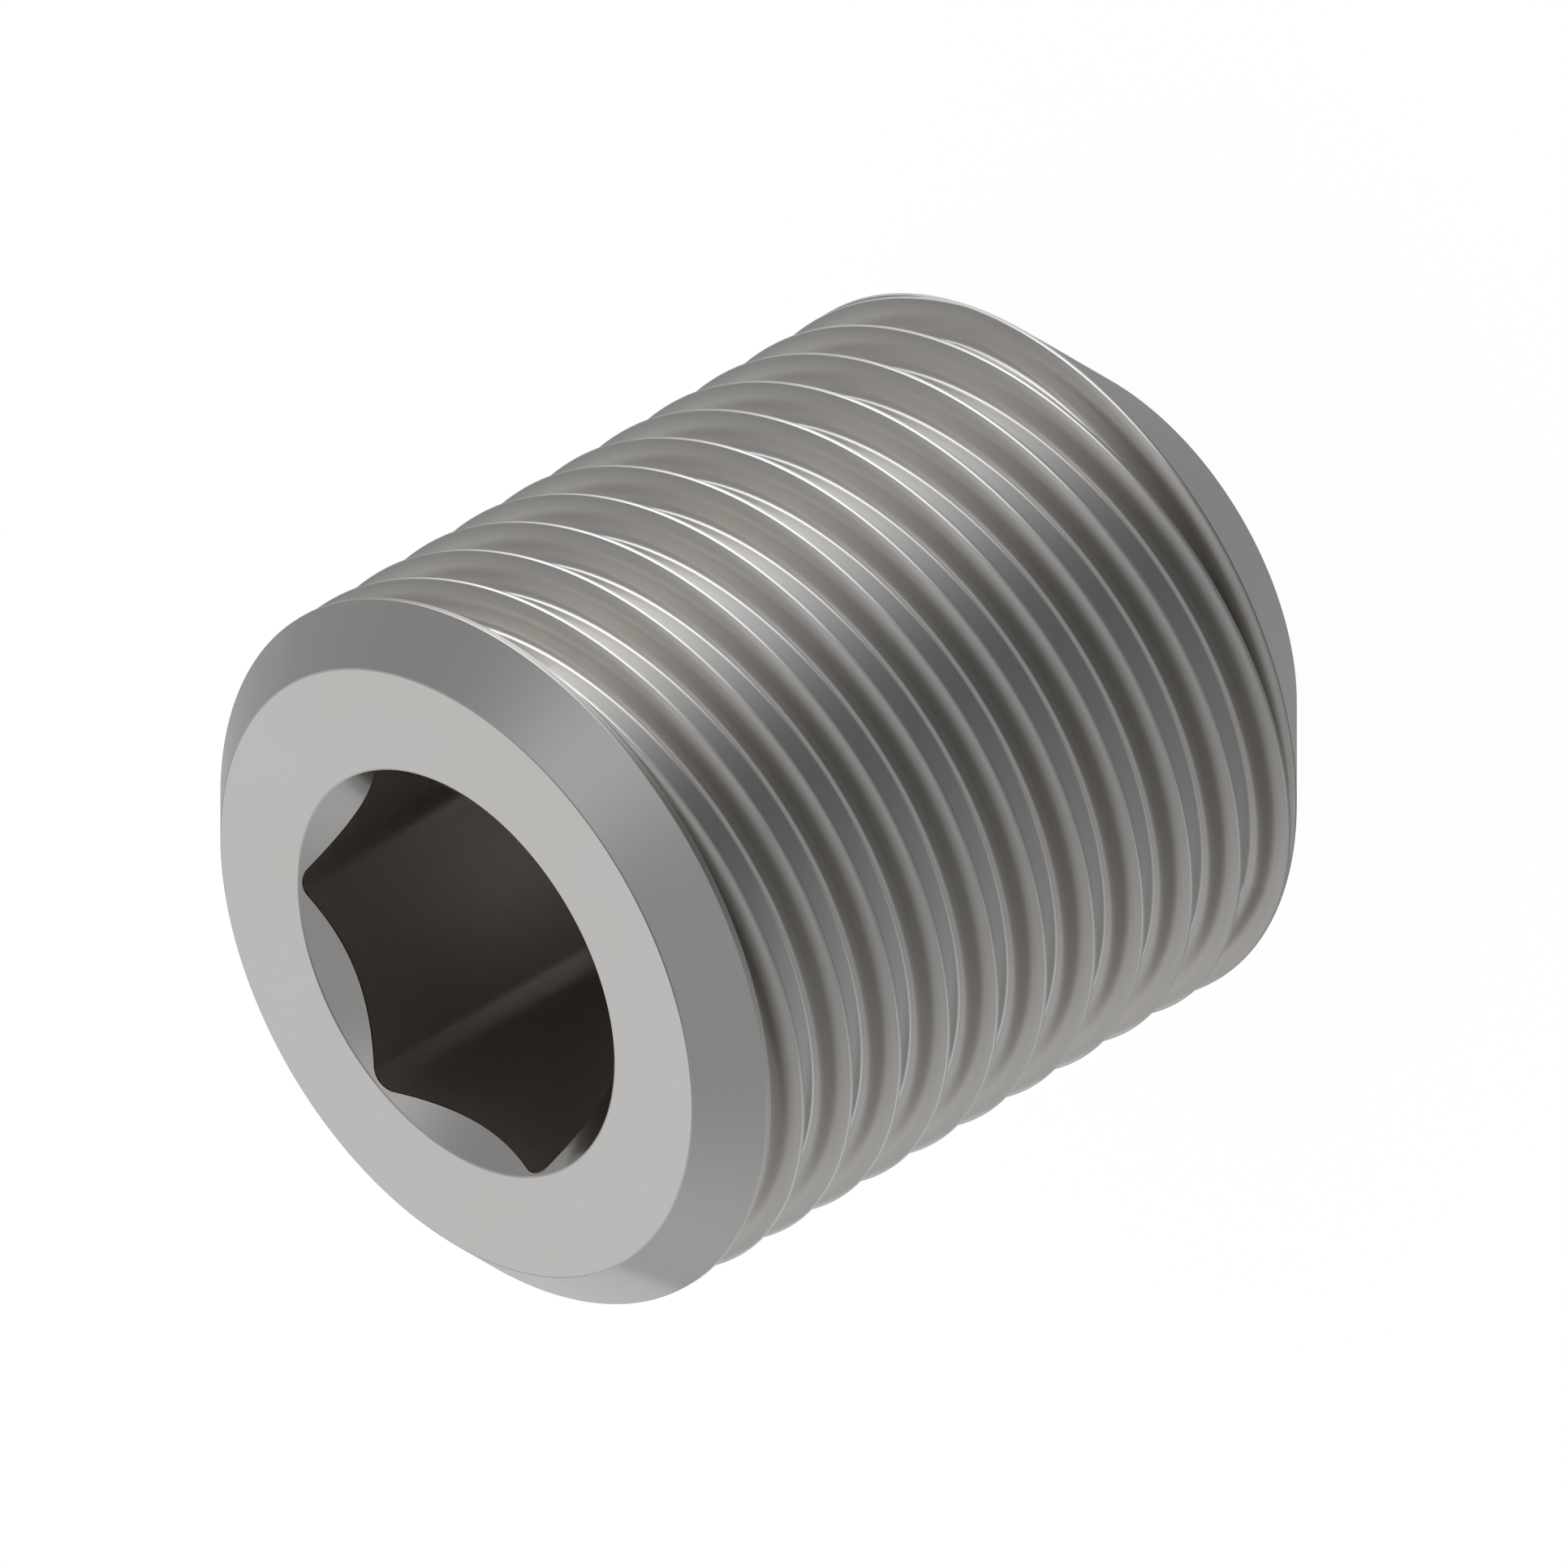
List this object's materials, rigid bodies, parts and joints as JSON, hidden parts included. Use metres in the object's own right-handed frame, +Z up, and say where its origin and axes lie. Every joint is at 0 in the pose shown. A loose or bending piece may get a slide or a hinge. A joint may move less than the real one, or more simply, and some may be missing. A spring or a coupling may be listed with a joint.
{
  "type": "threaded orifice plug",
  "caption": "Headless steel screw plug with a hexagon socket in one end, a fine outside thread, chamfered ends and a small orifice drilled through its middle.",
  "frame": {"origin": "centre of the orifice end's face, on which the plug stands", "axes": "+Z up the plug's axis towards the hexagon socket, two corners of the socket on the X axis"},
  "size_m": [0.0158, 0.0158, 0.0191],
  "materials": {
    "bare_steel": "smooth turned, unplated, satin to polished"
  },
  "bodies": {
    "root": {"plug_body": "bare_steel"}
  },
  "joints": []
}
